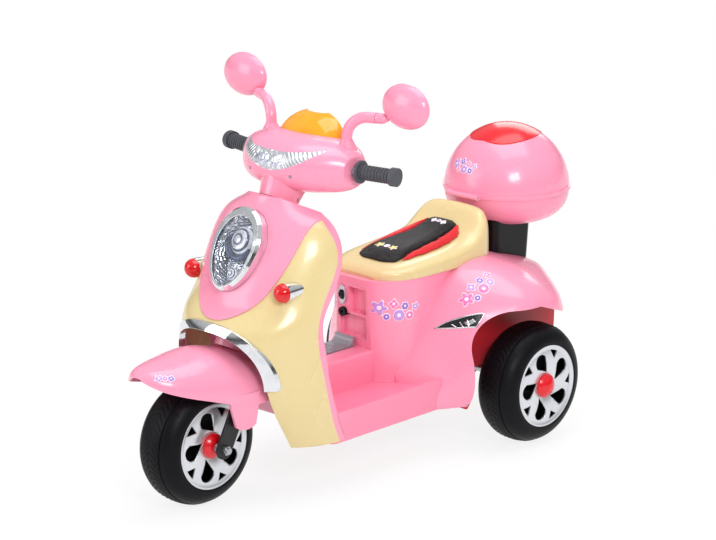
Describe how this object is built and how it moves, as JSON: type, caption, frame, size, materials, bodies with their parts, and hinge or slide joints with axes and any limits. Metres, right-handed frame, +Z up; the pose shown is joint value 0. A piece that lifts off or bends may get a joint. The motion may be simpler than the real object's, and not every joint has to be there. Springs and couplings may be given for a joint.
{
  "type": "ride-on motorbike",
  "caption": "Child's battery ride-on motorbike in pink and cream with a leg shield, front mudguard, foot pedal, padded saddle, lidded rear box and swivelling mirrors.",
  "frame": {"origin": "centre of the bounding box on the floor under the wheels", "axes": "+X forward towards the front wheel, +Y to the rider's left, +Z up"},
  "size_m": [1.109, 0.5214, 0.752],
  "materials": {
    "pink": "glossy moulded",
    "cream": "glossy moulded",
    "black_tyre": "satin moulded",
    "black_plastic": "satin moulded",
    "grey_plastic": "satin moulded",
    "silver_plastic": "silver sprayed",
    "red": "glossy moulded",
    "maroon": "satin moulded",
    "chrome": "plated",
    "amber": "clear tinted",
    "clear": "clear",
    "lamp_red": "clear tinted",
    "mirror": "polished",
    "steel": "zinc plated",
    "painted_steel": "satin black",
    "rubber": "matt"
  },
  "bodies": {
    "chassis": {"leg_shield": "cream", "inner_leg_shield": "pink", "nose_panel": "pink", "arch_trim": "chrome", "signal_stalks": "chrome", "signal_lenses": "lamp_red", "steering_head_tube": "painted_steel", "headlamp_bezel": "chrome", "headlamp_reflector": "silver_plastic", "headlamp_lamps": "clear", "headlamp_lens": "clear", "footboard": "pink", "rear_body": "pink", "wheel_well_liner": "maroon", "pedestal_hatch": "pink", "switch_plate": "silver_plastic", "charging_socket": "black_plastic", "side_vents": "black_plastic", "seat_base": "cream", "seat_pad": "black_plastic", "seat_bolsters": "red", "box_mount": "black_plastic", "box_tub": "pink", "box_hinge_pin": "steel", "battery": "black_plastic", "rear_axle": "steel", "rear_axle_fasteners": "steel", "axle_carrier": "painted_steel", "gearbox": "black_plastic", "motor": "steel"},
    "steering": {"fork": "painted_steel", "front_mudguard": "pink", "front_axle": "steel", "front_axle_fasteners": "steel", "head_cover_upper": "pink", "head_cover_lower": "pink", "head_lamp_lens": "clear", "windscreen": "amber", "handlebar": "steel", "handlebar_grips": "rubber", "mirror_arms": "pink"},
    "front_wheel": {"front_tyre": "black_tyre", "front_rim_covers": "silver_plastic", "front_hub_cap": "red"},
    "rear_left_wheel": {"rear_left_tyre": "black_tyre", "rear_left_rim_covers": "silver_plastic", "rear_left_hub_cap": "red"},
    "rear_right_wheel": {"rear_right_tyre": "black_tyre", "rear_right_rim_covers": "silver_plastic", "rear_right_hub_cap": "red"},
    "pedal": {"accelerator_pedal": "grey_plastic"},
    "lid": {"box_lid": "pink", "lid_insert": "red"},
    "rocker": {"power_rocker": "black_plastic"},
    "left_mirror": {"mirror_left_shell": "pink", "mirror_left_glass": "mirror"},
    "right_mirror": {"mirror_right_shell": "pink", "mirror_right_glass": "mirror"}
  },
  "joints": [
    {"name": "steering", "type": "hinge", "parent": "chassis", "child": "steering", "pos_m": [0.4145, 0, 0.116], "axis": [-0.454, 0, 0.891], "range_deg": [-25, 25]},
    {"name": "front_wheel_spin", "type": "hinge", "parent": "steering", "child": "front_wheel", "pos_m": [0.4145, 0, 0.116], "axis": [0, 1, 0], "continuous": true},
    {"name": "rear_left_wheel_spin", "type": "hinge", "parent": "chassis", "child": "rear_left_wheel", "pos_m": [-0.2655, 0.204, 0.116], "axis": [0, 1, 0], "continuous": true},
    {"name": "rear_right_wheel_spin", "type": "hinge", "parent": "chassis", "child": "rear_right_wheel", "pos_m": [-0.2655, -0.204, 0.116], "axis": [0, 1, 0], "continuous": true},
    {"name": "pedal_press", "type": "hinge", "parent": "chassis", "child": "pedal", "pos_m": [0.0265, -0.018, 0.199], "axis": [0, 1, 0], "range_deg": [0, 5.5], "stiffness_Nm_per_rad": 4, "springref_deg": -8.59},
    {"name": "lid_hinge", "type": "hinge", "parent": "chassis", "child": "lid", "pos_m": [-0.2965, 0, 0.443], "axis": [0, 1, 0], "range_deg": [0, 80]},
    {"name": "power_rocker", "type": "hinge", "parent": "chassis", "child": "rocker", "pos_m": [0.0115, -0.024, 0.302], "axis": [0, 1, 0], "range_deg": [-7, 7]},
    {"name": "left_mirror_swivel", "type": "hinge", "parent": "steering", "child": "left_mirror", "pos_m": [0.09517, 0.17, 0.684], "axis": [-0.405, 0.9143, 0], "range_deg": [-15, 20]},
    {"name": "right_mirror_swivel", "type": "hinge", "parent": "steering", "child": "right_mirror", "pos_m": [0.09517, -0.17, 0.684], "axis": [0.405, 0.9143, 0], "range_deg": [-15, 20]}
  ]
}
